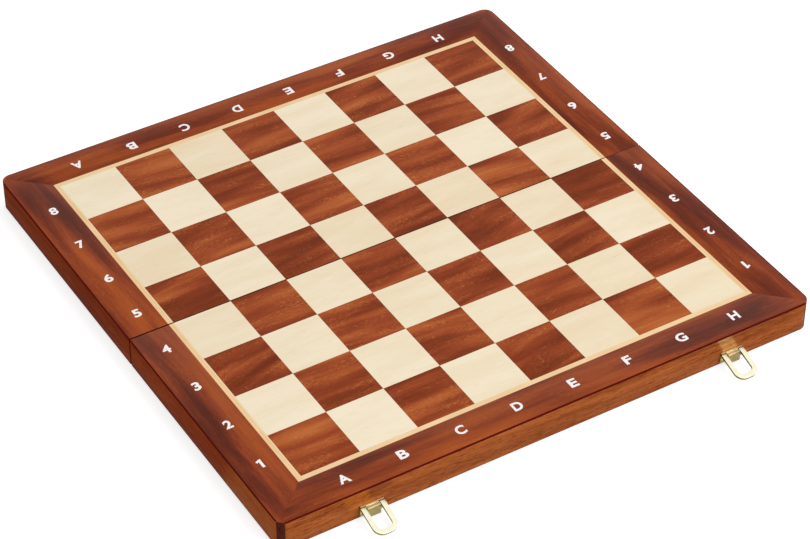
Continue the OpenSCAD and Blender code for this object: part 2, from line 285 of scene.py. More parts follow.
# The dark lines round the top and along the seam are dark joints and also painted shade: the shade that
# would lie in the small groove at the joint and on the rounded arrises.
RIM_LINE = 0.60 * MM            # width of the dark line round the top, from the edge inwards
RIM_LINE_FADE = 0.25 * MM
RIM_DROP_FADE = 0.15 * MM       # over this height the line begins on the sides
RIM_COLOUR, RIM_STRENGTH = lacquered(88, 17, 2), 0.96
SEAM_LINE = 0.55 * MM           # half the width of the dark line along the seam, on the squares
SEAM_LINE_LEFT = 0.75 * MM      # and on the left border, where it is widest
SEAM_LINE_FADE = 0.1 * MM
SEAM_WIDENS_OVER = 6 * MM       # left of the field, where the line gets wider
SEAM_WEAKENS_OVER = 10 * MM     # right of the field, where it gets fainter
SEAM_COLOUR = lacquered(72, 14, 4)
SEAM_STRENGTH, SEAM_STRENGTH_RIGHT = 0.97, 0.10
LINE_ROUGHNESS = 0.95


def edge_line(m, colour, z_low, roughness=LACQUER_ROUGHNESS):
    """Darkens and dulls the outer edge of the top, the side above z_low and the edges at the seam.
    These lines are dark joints and also painted shade, the shade of the small groove and rounded arrises
    there.
    """
    x, y, z = m.split(m.position())
    over_x = m.math("SUBTRACT", m.math("ABSOLUTE", x), half_width - corner_radius)
    from_seam = m.math("ABSOLUTE", m.math("SUBTRACT", y, seam_y))
    over_y = m.math("SUBTRACT", from_seam, half_reach - corner_radius)
    outwards = m.join(m.math("MAXIMUM", over_x, 0.0), m.math("MAXIMUM", over_y, 0.0), 0)
    rim_start = corner_radius - RIM_LINE
    rim = m.step(m.length(outwards), rim_start - RIM_LINE_FADE, rim_start)
    rim = m.math("MULTIPLY", rim, m.step(z, z_low, z_low + RIM_DROP_FADE))
    half_line = m.step(x, -field_x - SEAM_WIDENS_OVER, -field_x, SEAM_LINE_LEFT, SEAM_LINE)
    past_line = m.math("SUBTRACT", from_seam, half_line)
    seam = m.step(past_line, -SEAM_LINE_FADE, SEAM_LINE_FADE, 1.0, 0.0)
    strength = m.step(x, field_x, field_x + SEAM_WEAKENS_OVER, SEAM_STRENGTH, SEAM_STRENGTH_RIGHT)
    seam = m.math("MULTIPLY", seam, strength)
    m.set(Roughness=m.step(m.math("MAXIMUM", rim, seam), 0.0, 1.0, roughness, LINE_ROUGHNESS))
    colour = m.mix(seam, colour, SEAM_COLOUR)
    return m.mix(m.math("MULTIPLY", rim, RIM_STRENGTH), colour, RIM_COLOUR)


PATCH_CORE, PATCH_END = 0.3, 1.5        # a patch fades between these shares of its half lengths


def spots(m, patches):
    """The sum of soft ovals, each (x, y, half length along x, half length along y, amount), in mm."""
    x, y, _ = m.split(m.position())
    total = 0.0
    for centre_x, centre_y, reach_x, reach_y, amount in patches:
        along_x = m.math("MULTIPLY_ADD", x, 1 / (reach_x * MM), -centre_x / reach_x)
        along_y = m.math("MULTIPLY_ADD", y, 1 / (reach_y * MM), -centre_y / reach_y)
        away = m.length(m.join(along_x, along_y, 0))
        total = m.math("ADD", m.step(away, PATCH_CORE, PATCH_END, amount, 0.0), total)
    return total


TONE_STOPS = (0.36, 0.44, 0.51, 0.58, 0.68)
BORDER_TONES = ((88, 42, 32), (114, 52, 36), (142, 67, 40), (161, 80, 42), (176, 92, 48))
SQUARE_TONES = ((112, 49, 28), (132, 59, 34), (150, 70, 41), (168, 86, 47), (188, 106, 60))
FLECK_COLOUR, PORE_COLOUR = lacquered(204, 128, 70), lacquered(80, 30, 20)
STREAK_WEIGHT = FIBRE_WEIGHT = 0.14
TINT_WEIGHT = 0.06
TONE_SHIFT = 0.315              # brings the middle of the weighted noises near the middle stop
PATCHED_LIFT = 0.02             # how much higher the tone of a veneer with patches is
SQUARE_CLOUD, SQUARE_FLECK = 0.55, 0.65     # how strong the clouds and flecks are on the squares
BORDER_CLOUD, BORDER_FLECK = 0.32, 0.18     # and on the borders
BORDER_SLANT = 0.03             # how far the grain goes across for each step along
SLANT_LEAST, SLANT_SPREAD = -0.17, 0.30     # and on the squares, which differ from each other
GLEAM_SHIFT = (3, 5, 7)         # keeps the gleam apart from the other noises
MAHOGANY_RELIEF, PALE_RELIEF, SIDE_RELIEF, SOLID_RELIEF = 0.015 * MM, 0.01 * MM, 0.02 * MM, 0.03 * MM


def mahogany(name, grain, seed, tones, patches=(), per_square=False):
    """Lacquered red-brown veneer: plum and orange clouds, faint streaks, pale flecks, open pores."""
    m = Material(name)
    place, tint = grain_space(m, grain, seed, per_square)
    slant = m.math("MULTIPLY_ADD", tint, SLANT_SPREAD, SLANT_LEAST) if per_square else BORDER_SLANT
    place = bent(m, place, 0.12, 0.012, slant)
    cloud = figure(m, place, 0.110, 0.014, roughness=0.4)
    streak = figure(m, place, 0.050, 0.0030, detail=2)
    fibre = figure(m, place, 0.012, 0.0007, detail=3, roughness=0.7)
    flecks = figure(m, place, 0.0034, 0.0005)
    gleam = m.noise(m.vector("ADD", stretched(m, place, 0.040, 0.0070), GLEAM_SHIFT), detail=1)
    pores = figure(m, place, 0.0024, 0.00032)

    cloudy = SQUARE_CLOUD if per_square else BORDER_CLOUD
    tone = m.math("MULTIPLY_ADD", cloud, cloudy, m.math("MULTIPLY", streak, STREAK_WEIGHT))
    tone = m.math("MULTIPLY_ADD", fibre, FIBRE_WEIGHT, tone)
    tone = m.math("SUBTRACT", tone, 0.5 * cloudy - TONE_SHIFT)
    tone = m.math("MULTIPLY_ADD", tint, TINT_WEIGHT, tone)
    if patches:
        tone = m.math("ADD", tone, m.math("ADD", spots(m, patches), PATCHED_LIFT))
    colour = m.ramp(tone, *((stop, lacquered(*shade)) for stop, shade in zip(TONE_STOPS, tones)))

    fleck = SQUARE_FLECK if per_square else BORDER_FLECK
    gold = m.math("MULTIPLY", m.step(flecks, 0.52, 0.70), m.step(gleam, 0.46, 0.62, 0.15 * fleck, fleck))
    gold = m.math("MULTIPLY", gold, m.step(tone, 0.40, 0.52, 0.35, 1.0))
    pore_mask = m.step(pores, 0.64, 0.74)
    colour = m.mix(gold, colour, FLECK_COLOUR)
    colour = m.mix(m.math("MULTIPLY", pore_mask, 0.35), colour, PORE_COLOUR)
    colour = edge_line(m, colour, 0)
    m.set(Base_Color=colour, Specular_IOR_Level=LACQUER_GLOSS)
    m.bump(m.math("MULTIPLY_ADD", pore_mask, -0.7, fibre), MAHOGANY_RELIEF)
    return m.data


def pale_wood(name, grain, seed, light, shade, per_square=False):
    """Lacquered pale veneer, nearly even, with faint short grey-brown dashes."""
    m = Material(name)
    place, tint = grain_space(m, grain, seed, per_square)
    place = bent(m, place, 0.12, 0.008)
    cloud = figure(m, place, 0.08, 0.018, detail=2)
    fibre = figure(m, place, 0.016, 0.0009, detail=3, roughness=0.65)
    dash_mask = m.step(figure(m, place, 0.011, 0.0007), 0.68, 0.80)
    tone = m.math("MULTIPLY_ADD", cloud, 0.45, m.math("MULTIPLY", fibre, 0.35))
    tone = m.math("MULTIPLY_ADD", tint, 0.2, tone)
    colour = m.ramp(tone, (0.36, shade), (0.62, light))
    colour = m.mix(m.math("MULTIPLY", dash_mask, 0.4), colour, darker(shade, 0.66))
    colour = edge_line(m, colour, 0)
    m.set(Base_Color=colour, Specular_IOR_Level=LACQUER_GLOSS)
    m.bump(m.math("MULTIPLY_ADD", dash_mask, -0.5, fibre), PALE_RELIEF)
    return m.data


STRING_FRONT = (236, 200, 153), (243, 211, 167)
STRING_INNER = (234, 208, 160), (242, 219, 174)
STRING_OUTER = (238, 194, 144), (247, 208, 162)
STRING_JOINT = 1.6 * MM         # from the field to the joint between the two strips
STRING_GLUE = 4.2 * MM          # from the field to the dark glue line
JOINT_SOFT, MITRE_SOFT, GLUE_SOFT = 0.1 * MM, 0.2 * MM, 0.3 * MM    # how wide these lines fade
JOINT_COLOUR, JOINT_STRENGTH = lacquered(150, 100, 60), 0.35
GLUE_COLOUR, GLUE_STRENGTH = lacquered(120, 70, 40), 0.6


def string_wood(name, seed):
    """Pale line round the field: left and right it is two strips side by side, the outer one warmer."""
    m = Material(name)
    place, _ = grain_space(m, "X", seed)
    x, y, _ = m.split(m.position())
    out_x = m.math("SUBTRACT", m.math("ABSOLUTE", x), field_x)
    out_y = m.math("SUBTRACT", m.math("ABSOLUTE", m.math("SUBTRACT", y, seam_y)), field_reach)
    grain = figure(m, place, 0.02, 0.02, detail=3)
    front, inner, outer = (
        m.ramp(grain, (0.3, lacquered(*dark)), (0.7, lacquered(*light)))
        for dark, light in (STRING_FRONT, STRING_INNER, STRING_OUTER)
    )
    from_joint = m.math("SUBTRACT", out_x, STRING_JOINT)
    side = m.mix(m.step(from_joint, -JOINT_SOFT, JOINT_SOFT), inner, outer)
    joint = m.step(m.math("ABSOLUTE", from_joint), JOINT_SOFT, 2 * JOINT_SOFT, 1.0, 0.0)
    side = m.mix(m.math("MULTIPLY", joint, JOINT_STRENGTH), side, JOINT_COLOUR)
    colour = m.mix(m.step(m.math("SUBTRACT", out_x, out_y), 0, MITRE_SOFT), front, side)
    glue = m.step(m.math("MAXIMUM", out_x, out_y), STRING_GLUE, STRING_GLUE + GLUE_SOFT)
    colour = m.mix(m.math("MULTIPLY", glue, GLUE_STRENGTH), colour, GLUE_COLOUR)
    colour = edge_line(m, colour, 0)
    m.set(Base_Color=colour, Specular_IOR_Level=LACQUER_GLOSS)
    return m.data


PLACE_CORE, PLACE_END = 0.85, 1.30      # a place fades between these shares of its half sizes
PLACE_LEAN = 0.5                # how far a place leans along the side for each step up
PLACE_FRAY = 0.4
SIDE_LINE = 0.75 * MM           # how far the dark line round the top comes down the side
BOTTOM_LINE = 0.20 * MM         # height of the dark lower edge, which shows when the box is shut
BOTTOM_LINE_FADE, BOTTOM_LINE_STRENGTH = 0.25 * MM, 0.8
MARK_SHADE = 0.28               # share of the dark colour that is left in the marks
SIDE_PORES, SIDE_DASHES = 0.55, 0.65    # strength of the marks


def side_wood(name, grain, seed, light, dark, marks, places=()):
    """Lacquered side veneer: long bands, fine dark fibres, dark marks, darker and paler places, some of
    them painted light from the brass bails.
    """
    m = Material(name)
    place, _ = grain_space(m, grain, seed)
    place = bent(m, place, 0.08, 0.008, 0.02)
    band = figure(m, place, 0.14, 0.006, detail=3, roughness=0.55)
    fibre = figure(m, place, 0.014, 0.0011, detail=3, roughness=0.7)
    dashes = figure(m, place, 0.011, 0.0013, detail=2, roughness=0.6)
    tone = m.math("MULTIPLY_ADD", band, 0.50, m.math("MULTIPLY", fibre, 0.50))
    middle = tuple((a + b) / 2 for a, b in zip(light, dark))
    colour = m.ramp(tone, (0.38, dark), (0.50, middle), (0.62, light))
    pore_mask = m.step(figure(m, place, 0.0060, 0.0006), 0.58, 0.70)
    dash_mask = m.step(dashes, 0.62, 0.72)
    black = darker(dark, MARK_SHADE)
    colour = m.mix(m.math("MULTIPLY", pore_mask, SIDE_PORES * marks), colour, black)
    colour = m.mix(m.math("MULTIPLY", dash_mask, SIDE_DASHES * marks), colour, black)

    axes = m.split(m.position())
    along, z = axes[AXES[grain][0]], axes[2]
    # Some places are painted light, the glow that the brass bails throw onto the wood above the clasps.
    for centre, centre_z, reach, reach_z, gain in places:
        lean = m.math("MULTIPLY_ADD", z, PLACE_LEAN, along)
        middle_lean = centre + PLACE_LEAN * centre_z
        across = m.math("MULTIPLY_ADD", lean, 1 / (reach * MM), -middle_lean / reach)
        up = m.math("MULTIPLY_ADD", z, 1 / (reach_z * MM), -centre_z / reach_z)
        away = m.math("MAXIMUM", m.math("ABSOLUTE", across), m.math("ABSOLUTE", up))
        away = m.math("ADD", away, m.math("MULTIPLY", dashes, PLACE_FRAY))
        changed = m.mix(1.0, colour, gain, "MULTIPLY")
        colour = m.mix(m.step(away, PLACE_CORE, PLACE_END, 1.0, 0.0), colour, changed)

    colour = edge_line(m, colour, wall_top - SIDE_LINE, SIDE_ROUGHNESS)
    lower_edge = m.step(z, BOTTOM_LINE, BOTTOM_LINE + BOTTOM_LINE_FADE, BOTTOM_LINE_STRENGTH, 0.0)
    colour = m.mix(lower_edge, colour, black)
    m.set(Base_Color=colour, Specular_IOR_Level=SIDE_GLOSS[grain])
    m.bump(m.math("MULTIPLY_ADD", pore_mask, -0.7, fibre), SIDE_RELIEF)
    return m.data


def solid_wood(name, grain, seed, dark, light, roughness):
    """Plain solid wood with long fibres."""
    m = Material(name)
    place, _ = grain_space(m, grain, seed)
    band = figure(m, place, 0.12, 0.004, detail=3)
    fibre = figure(m, place, 0.010, 0.0006, detail=3, roughness=0.7)
    tone = m.math("MULTIPLY_ADD", band, 0.6, m.math("MULTIPLY", fibre, 0.4))
    m.set(Base_Color=m.ramp(tone, (0.36, dark), (0.62, light)))
    m.set(Roughness=m.math("MULTIPLY_ADD", fibre, 0.15, roughness), Specular_IOR_Level=INSIDE_GLOSS)
    m.bump(fibre, SOLID_RELIEF)
    return m.data


# ---- Felt, brass and paint -----------------------------------------------------

FELT_RELIEF = 0.2 * MM
SCRATCH_DEPTH = 0.004 * MM

def felt_material():
    """Short green felt: tangled fibres, a little lint, and painted shade: its tone follows the same
    noises as its bump, so the hollows are darker.
    """
    m = Material("green_felt")
    place = m.position()
    nap = m.noise(place, scale=2600, detail=3, roughness=0.7)
    tangle = m.noise(place, scale=700, detail=2, distortion=1.5)
    cloud = m.noise(place, scale=45, detail=3)
    lint = m.noise(m.vector("MULTIPLY", place, (900, 420, 900)), detail=1, distortion=2.0)
    # Painted shade: nap and tangle also raise the bump, so the low places come out darker.
    tone = m.math("MULTIPLY_ADD", nap, 0.45, m.math("MULTIPLY", cloud, 0.3))
    tone = m.math("MULTIPLY_ADD", tangle, 0.25, tone)
    dark, middle, light = srgb(12, 50, 30), srgb(22, 72, 44), srgb(40, 98, 64)
    colour = m.ramp(tone, (0.36, dark), (0.50, middle), (0.66, light))
    colour = m.mix(m.math("MULTIPLY", m.step(lint, 0.70, 0.78), 0.3), colour, srgb(92, 138, 104))
    m.set(Base_Color=colour, Roughness=0.95, Specular_IOR_Level=0.1)
    m.set(Sheen_Weight=0.4, Sheen_Roughness=0.5)
    m.bump(m.math("ADD", nap, tangle), FELT_RELIEF)
    return m.data


# Edge colours of bail and plate: painted shade, darker reflections of the surroundings put into the
# colour.
BAIL_EDGE_PAINTED_SHADE, PLATE_EDGE_PAINTED_SHADE = (112, 106, 52), (164, 148, 98)
POLISHED, BRUSHED = 0.16, 0.36      # roughness, to which the smears add a little


def brass_material(name, dark, light, bright_face=None, edge_shade_colour=BAIL_EDGE_PAINTED_SHADE, roughness=POLISHED):
    """Pale brass. Faces that do not look along bright_face, the edges, are coloured duller and darker:
    painted shade that stands in for the dark surroundings these faces reflect.
    """
    m = Material(name)
    place = m.position()
    smear = m.noise(place, scale=240, detail=3)
    scratch = m.noise(m.vector("MULTIPLY", place, (900, 5200, 900)), detail=2)
    colour = m.ramp(smear, (0.35, srgb(*dark)), (0.65, srgb(*light)))
    # Painted shade: faces turned away from bright_face get this darker ramp in place of the dark room
    # they reflect.
    if bright_face:
        painted_edge_shade = srgb(*edge_shade_colour)
        cut = m.ramp(smear, (0.35, darker(painted_edge_shade, 0.82)), (0.65, painted_edge_shade))
        facing = m.math("ABSOLUTE", m.dot(m.normal(), bright_face))
        edge = m.step(facing, 0.85, 0.99, 1.0, 0.0)
        colour = m.mix(edge, colour, cut)
    m.set(Base_Color=colour, Metallic=1.0)
    m.set(Roughness=m.math("MULTIPLY_ADD", smear, 0.12, roughness))
    m.bump(scratch, SCRATCH_DEPTH)
    return m.data


def print_material():
    m = Material("white_print")
    wear = m.noise(m.position(), scale=900, detail=2)
    m.set(Base_Color=m.ramp(wear, (0.3, srgb(240, 234, 232)), (0.6, srgb(252, 249, 248))))
    m.set(Roughness=0.4, Specular_IOR_Level=0.15)
    return m.data


# ---- Finish on the CAD nodes ----------------------------------------------------

SMOOTH_ANGLE = math.radians(35)     # edges flatter than this are shaded smoothly
SHARP_ANGLE = math.radians(40)      # edges sharper than this get a bevel
FLAT_ANGLE = math.radians(0.3)      # faces closer than this are merged into one
WELD_DISTANCE = 1e-6

def smooth_by_angle_group():
    """Geometry nodes that shade smoothly over edges flatter than the limit."""
    group = bpy.data.node_groups.new("smooth_by_angle", "GeometryNodeTree")
    group.interface.new_socket("Geometry", in_out="INPUT", socket_type="NodeSocketGeometry")
    group.interface.new_socket("Geometry", in_out="OUTPUT", socket_type="NodeSocketGeometry")
    make, link = group.nodes.new, group.links.new
    start, end = make("NodeGroupInput"), make("NodeGroupOutput")
    faces, edges = make("GeometryNodeSetShadeSmooth"), make("GeometryNodeSetShadeSmooth")
    edges.domain = "EDGE"
    edges.inputs["Shade Smooth"].default_value = False
    angle, over = make("GeometryNodeInputMeshEdgeAngle"), make("FunctionNodeCompare")
    over.inputs[1].default_value = SMOOTH_ANGLE
    link(start.outputs[0], faces.inputs["Geometry"])
    link(faces.outputs[0], edges.inputs["Geometry"])
    link(angle.outputs["Unsigned Angle"], over.inputs[0])
    link(over.outputs[0], edges.inputs["Selection"])
    link(edges.outputs[0], end.inputs[0])
    return group


SMOOTH = smooth_by_angle_group()
VENEER_BEVEL, WALL_BEVEL, PANEL_BEVEL = 0.12 * MM, 0.25 * MM, 0.1 * MM
RACK_BEVEL, BRASS_BEVEL, NO_BEVEL = 0.5 * MM, 0.10 * MM, 0


def soften(node, width):
    """Small bevels on the sharp edges of a CAD node, by modifiers only."""
    weld = node.modifiers.new("weld", "WELD")
    weld.merge_threshold = WELD_DISTANCE
    flat = node.modifiers.new("flat_faces", "DECIMATE")
    flat.decimate_type = "DISSOLVE"
    flat.angle_limit = FLAT_ANGLE
    bevel = node.modifiers.new("bevel", "BEVEL")
    bevel.width = width
    bevel.segments = 2
    bevel.limit_method = "ANGLE"
    bevel.angle_limit = SHARP_ANGLE
    bevel.use_clamp_overlap = True
    node.modifiers.new("smooth", "NODES").node_group = SMOOTH


def finish_node(name, material, bevel):
    """Gives a CAD node its material and, where bevel isn't 0, small bevels of that width."""
    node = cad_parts[name]
    node.data.materials.clear()
    node.data.materials.append(material)
    if bevel:
        soften(node, bevel)


# Darker and lighter places on each border, as in spots().
BORDER_PLACES = {
    "front_outer": (
        (-180, -210, 45, 8, -0.09), (160, -224, 55, 11, -0.13), (200, -211, 22, 8, -0.10),
        (85, -221, 25, 9, -0.03), (-222, -231, 35, 6, -0.06), (-65, -230, 60, 7, 0.14),
        (60, -211, 30, 6, 0.03),
    ),
    "front_left": ((-233, -135, 8, 100, -0.08), (-222, -115, 8, 50, -0.06), (-212, -90, 6, 80, 0.04)),
    "front_right": (
        (216, -212, 14, 32, -0.08), (222, -85, 9, 40, -0.10), (232, -105, 8, 55, -0.12),
        (212, -25, 8, 40, -0.06),
    ),
    "rear_outer": (
        (-228, 215, 22, 16, -0.14), (-110, 224, 45, 8, -0.04), (180, 213, 50, 9, -0.09),
        (205, 224, 30, 10, -0.08), (75, 230, 50, 7, 0.14),
    ),
    "rear_left": ((-222, 190, 15, 50, -0.11), (-212, 135, 8, 55, -0.11), (-226, 60, 12, 60, 0.06)),
    "rear_right": ((212, 190, 9, 65, -0.11), (210, 50, 9, 60, -0.08), (222, 210, 9, 45, -0.05)),
}
# Darker and paler places of the side veneers: (along the side, z, half sizes) in mm, and the gain in
# colour. The last two of the front are above the clasps and are painted light: the glow that light
# reflected off the brass bails throws onto the wood.
SIDE_PLACES_AND_BAIL_GLOW = {
    "front_outer": (
        (165, 25, 62, 5.5, (0.72, 0.70, 0.78)), (-154, 23, 11, 4.5, (0.68, 0.62, 0.75)),
        # painted light above the clasps: the glow thrown by the brass bails
        (158, 18.5, 7.5, 9, (1.60, 2.80, 3.40)), (-173, 17, 11, 10, (1.22, 1.3, 1.0)),
    ),
    "front_left": ((-215, 13, 65, 40, (1.52, 2.45, 3.20)),),
    "rear_left": ((150, 13, 95, 40, (0.88, 0.80, 0.55)),),
}
# Part of the difference between the X and the Y colours is painted light: the paler X ones carry the
# sheen of the lit front wall, the redder Y ones the shade of the left wall.
SIDE_LIGHT = {"X": lacquered(190, 108, 60), "Y": lacquered(172, 78, 40)}
SIDE_DARK = {"X": lacquered(140, 70, 34), "Y": lacquered(136, 54, 28)}
SIDE_MARKS = {"X": 1.0, "Y": 0.5}


LIGHT_SQUARE = lacquered(245, 231, 204), lacquered(236, 217, 184)
# Dark and light colour of the solid woods, and their roughness.
CORE_WOOD = srgb(62, 22, 13), srgb(98, 42, 24), 0.34
PLYWOOD = srgb(190, 150, 100), srgb(214, 178, 128), 0.55
RACK_WOOD = srgb(196, 152, 104), srgb(220, 182, 136), 0.5
EDGE_GRAIN = {"outer": "X", "left": "Y", "right": "Y"}
WALL_GRAIN = {"outer": "X", "seam": "X", "left": "Y", "right": "Y"}


def dress_half(half, seed):
    """Materials and bevels of all wood of one half. Each material gets a seed of its own."""
    for k, (side, grain) in enumerate(EDGE_GRAIN.items()):
        edge = f"{half}_{side}"
        border = mahogany(f"{edge}_border_veneer", grain, seed + k, BORDER_TONES, BORDER_PLACES[edge])
        finish_node(f"{edge}_border", border, VENEER_BEVEL)
        look = (SIDE_LIGHT[grain], SIDE_DARK[grain], SIDE_MARKS[grain], SIDE_PLACES_AND_BAIL_GLOW.get(edge, ()))
        veneer = side_wood(f"{edge}_side_veneer", grain, seed + 3 + k, *look)
        finish_node(f"{edge}_veneer", veneer, VENEER_BEVEL)
    dark = mahogany(f"{half}_dark_veneer", "X", seed + 6, SQUARE_TONES, per_square=True)
    finish_node(f"{half}_dark_squares", dark, NO_BEVEL)
    light = pale_wood(f"{half}_light_veneer", "X", seed + 7, *LIGHT_SQUARE, per_square=True)
    finish_node(f"{half}_light_squares", light, NO_BEVEL)
    finish_node(f"{half}_stringing", string_wood(f"{half}_string_wood", seed + 8), NO_BEVEL)
    for k, (side, grain) in enumerate(WALL_GRAIN.items()):
        core = solid_wood(f"{half}_{side}_core", grain, seed + 10 + k, *CORE_WOOD)
        finish_node(f"{half}_{side}_wall", core, WALL_BEVEL)
    finish_node(f"{half}_panel", solid_wood(f"{half}_plywood", "X", seed + 15, *PLYWOOD), PANEL_BEVEL)
    rack = solid_wood(f"{half}_rack_wood", "X", seed + 16, *RACK_WOOD)
    finish_node(f"{half}_notched_strip", rack, RACK_BEVEL)
    finish_node(f"{half}_divider", rack, RACK_BEVEL)


BRASS = (240, 220, 154), (248, 233, 178)
SCREW_BRASS = (214, 188, 118), (228, 206, 140)
PALE_BRASS = (249, 243, 207), (252, 248, 225)
BAIL_DROOP = math.radians(18)       # how far the bails hang below level at rest
BAIL_FACE = (0, -math.sin(BAIL_DROOP), math.cos(BAIL_DROOP))


def dress_brass():
    """The nodes of the hinges and clasps. The ending of a name picks the brass, else the plain one."""
    plain = brass_material("polished_brass", *BRASS)
    bail = brass_material("polished_bail_brass", *PALE_BRASS, BAIL_FACE)
    plate = brass_material("brushed_plate_brass", *PALE_BRASS, (0, 0, 1), PLATE_EDGE_PAINTED_SHADE, BRUSHED)
    turned = brass_material("turned_screw_brass", *SCREW_BRASS)
    looks = {"clasp_bail": bail, "clasp_plate": plate, "hinge_screws": turned, "nails": turned}
    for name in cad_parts:
        if "hinge" in name or "clasp" in name:
            look = next((made for ending, made in looks.items() if name.endswith(ending)), plain)
            finish_node(name, look, BRASS_BEVEL)


for number, half in enumerate(HALVES):
    dress_half(half, 20 * number + 1)
dress_brass()


# ---- Felt lining -------------------------------------------------------------------

FELT_STEP = 6 * MM
FELT_WAVE = 0.08 * MM       # how uneven the underside is
FELT_EDGE = 0.15 * MM       # how much thinner the felt is along its edges
felt_green = felt_material()


def felt_sheet(name, half, x0, x1, y0, y1, top, thickness):
    """One piece of felt glued under the panel, its underside uneven and its cut edges thinner."""
    columns = max(2, round((x1 - x0) / FELT_STEP))
    rows = max(2, round((y1 - y0) / FELT_STEP))
    built = bmesh.new()

    def layer(is_lower):
        points = []
        for row in range(rows + 1):
            for column in range(columns + 1):
                z = top
                if is_lower:
                    rim = row in (0, rows) or column in (0, columns)
                    z -= thickness - (FELT_EDGE if rim else FELT_WAVE * random.random())
                x = x0 + (x1 - x0) * column / columns
                y = y0 + (y1 - y0) * row / rows
                points.append(built.verts.new((x, y, z)))
        return points

    upper, lower = layer(False), layer(True)
    wide = columns + 1
    for row in range(rows):
        for column in range(columns):
            a = row * wide + column
            corners = (a, a + 1, a + wide + 1, a + wide)
            built.faces.new([upper[i] for i in corners])
            built.faces.new([lower[i] for i in reversed(corners)])
    ring = list(range(wide))
    ring += [row * wide + columns for row in range(1, rows + 1)]
    ring += [rows * wide + column for column in range(columns - 1, -1, -1)]
    ring += [row * wide for row in range(rows - 1, 0, -1)]
    for a, b in zip(ring, ring[1:] + ring[:1]):
        built.faces.new((lower[a], lower[b], upper[b], upper[a]))
    bmesh.ops.recalc_face_normals(built, faces=built.faces)
    for face in built.faces:
        face.smooth = True
    mesh = bpy.data.meshes.new(name)
    built.to_mesh(mesh)
    built.free()
    mesh.materials.append(felt_green)
    piece = bpy.data.objects.new(name, mesh)
    piece.modifiers.new("smooth", "NODES").node_group = SMOOTH
    bpy.context.scene.collection.objects.link(piece)
    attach(piece, f"{half}_half")
    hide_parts(f"{half}_felt")


def line_half(half):
    """Three pieces of felt between the walls, the notched strip and the divider."""
    low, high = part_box(f"{half}_felt")
    strip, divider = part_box(f"{half}_notched_strip"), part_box(f"{half}_divider")
    first, second = sorted((strip, divider), key=lambda box: box[0].y)
    channels = ((low.y, first[0].y), (first[1].y, second[0].y), (second[1].y, high.y))
    for number, (y0, y1) in enumerate(channels, 1):
        name = f"{half}_felt_sheet_{number}"
        felt_sheet(name, half, low.x, high.x, y0, y1, high.z, high.z - low.z)


for half in HALVES:
    line_half(half)


# ---- Printed coordinates -----------------------------------------------------------

FONT_SIZE = 12.3 * MM       # capitals are 0.68 of it, before they are made bolder
BOLDER = 0.42 * MM
PRINT_LIFT = 0.02 * MM
PRINT_THICKNESS = 0.03 * MM
LETTERS, NUMBERS = "ABCDEFGH", "12345678"
LETTER_WIDTHS = (9.3, 8.3, 8.3, 8.4, 7.3, 6.7, 9.1, 8.1)        # in mm
NUMBER_WIDTHS = (4.6, 6.3, 6.1, 7.0, 6.6, 6.9, 6.6, 6.7)
WIDTHS = dict(zip(LETTERS + NUMBERS, LETTER_WIDTHS + NUMBER_WIDTHS))
# Outline of the 1, in mm.
ONE = ((0.1, -4.5), (2.3, -4.5), (2.3, 4.6), (0.7, 4.6), (-2.2, 2.9), (-1.4, 1.3), (0.1, 2.2))
LETTER_ROW = 4.357 * square     # from the middle of the board to the middle of the letters
NUMBER_ROW = 4.408 * square
LETTER_SHIFT = {"front": 0.75 * MM, "rear": 0}      # how far right of the grid the print lies
NUMBER_SHIFT = 1.1 * MM
LETTER_PITCH = 1.003 * square
NUMBER_PITCH = 0.987 * square
MIDDLE = 3.5                    # middle of the board, in squares that are counted from 0
print_white = print_material()


def outline_of_one():
    """A plain 1 with a flag, which the font's own bar doesn't have."""
    built = bmesh.new()
    face = built.faces.new([built.verts.new((x * MM, y * MM, 0)) for x, y in ONE])
    lifted = bmesh.ops.extrude_face_region(built, geom=[face])["geom"]
    for vertex in (v for v in lifted if isinstance(v, bmesh.types.BMVert)):
        vertex.co.z = BOLDER * 2
    bmesh.ops.recalc_face_normals(built, faces=built.faces)
    mesh = bpy.data.meshes.new("glyph")
    built.to_mesh(mesh)
    built.free()
    return mesh


def outline_of(character):
    """The font's character, made bolder by a round bevel."""
    curve = bpy.data.curves.new("glyph", "FONT")
    curve.body = character
    curve.size = FONT_SIZE
    curve.bevel_depth = BOLDER
    curve.bevel_resolution = 1
    curve.extrude = PRINT_THICKNESS / 2
    glyph = bpy.data.objects.new("glyph", curve)
    bpy.context.scene.collection.objects.link(glyph)
    bpy.context.view_layer.update()
    evaluated = glyph.evaluated_get(bpy.context.evaluated_depsgraph_get())
    mesh = bpy.data.meshes.new_from_object(evaluated)
    bpy.data.objects.remove(glyph)
    return mesh


def character_mesh(character):
    """A bold character, centred and as thin as print."""
    mesh = outline_of_one() if character == "1" else outline_of(character)
    low = [min(v.co[i] for v in mesh.vertices) for i in range(3)]
    high = [max(v.co[i] for v in mesh.vertices) for i in range(3)]
    middle = Vector([(a + b) / 2 for a, b in zip(low, high)])
    spread = WIDTHS[character] * MM / (high[0] - low[0])
    flatten = Matrix.Diagonal((spread, 1, PRINT_THICKNESS / (high[2] - low[2]), 1))
    mesh.transform(flatten @ Matrix.Translation(-middle))
    return mesh


